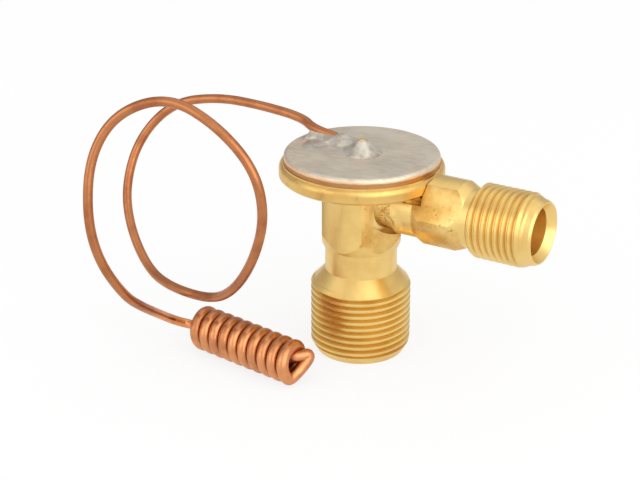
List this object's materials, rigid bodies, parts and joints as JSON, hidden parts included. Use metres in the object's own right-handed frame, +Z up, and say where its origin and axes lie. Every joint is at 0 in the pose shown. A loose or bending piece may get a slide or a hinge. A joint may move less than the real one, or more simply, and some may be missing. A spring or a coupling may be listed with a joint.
{
  "type": "refrigerant expansion valve",
  "caption": "Right-angle refrigerant expansion valve with threaded inlet and outlet, soldered diaphragm head, and a looped capillary ending in a sensing coil.",
  "frame": {"origin": "centre of the outlet's end face", "axes": "+Z up the outlet barrel to the head, +X out along the inlet arm"},
  "size_m": [0.1038, 0.0634, 0.0639],
  "materials": {
    "brass": "turned brass, satin to bright, light tarnish",
    "copper": null,
    "tinned_steel": "solder-tinned cap, brushed swirls",
    "solder": "soft solder, bright",
    "spring_steel": "drawn steel, satin",
    "stainless": "stainless steel, ground",
    "screen": "fine brass screen"
  },
  "bodies": {
    "valve": {"valve_body": "brass", "head_gasket": "copper", "head_base": "brass", "diaphragm": "stainless", "head_cap": "tinned_steel", "rim_solder": "solder", "charge_plug": "brass", "cap_solder": "solder", "valve_seat": "stainless", "strainer_ferrule": "brass", "strainer_screen": "screen", "capillary_tube": "copper", "sensing_coil": "copper"},
    "valve_train": {"thrust_plate": "brass", "push_rod_1": "stainless", "push_rod_2": "stainless", "push_rod_3": "stainless", "ball_carrier": "brass", "valve_ball": "stainless", "superheat_spring": "spring_steel"},
    "spring_seat": {"spring_seat": "brass"},
    "adjuster": {"adjusting_screw": "brass"}
  },
  "joints": [
    {"name": "valve_lift", "type": "slide", "parent": "valve", "child": "valve_train", "axis": [0, 0, -1], "range_m": [0, 0.0006], "stiffness_N_per_m": 8000, "springref_m": -0.0005, "deforming": ["superheat_spring"]},
    {"name": "adjuster_travel", "type": "slide", "parent": "valve", "child": "spring_seat", "axis": [0, 0, 1], "range_m": [-0.00101, 0.00101]},
    {"name": "adjuster_turn", "type": "hinge", "parent": "spring_seat", "child": "adjuster", "pos_m": [0, 0, 0.0093], "axis": [0, 0, 1], "range_deg": [-360, 360]}
  ],
  "couplings": [
    {"joint": "adjuster_travel", "follows": "adjuster_turn", "m_per_rad": 0.000159}
  ]
}
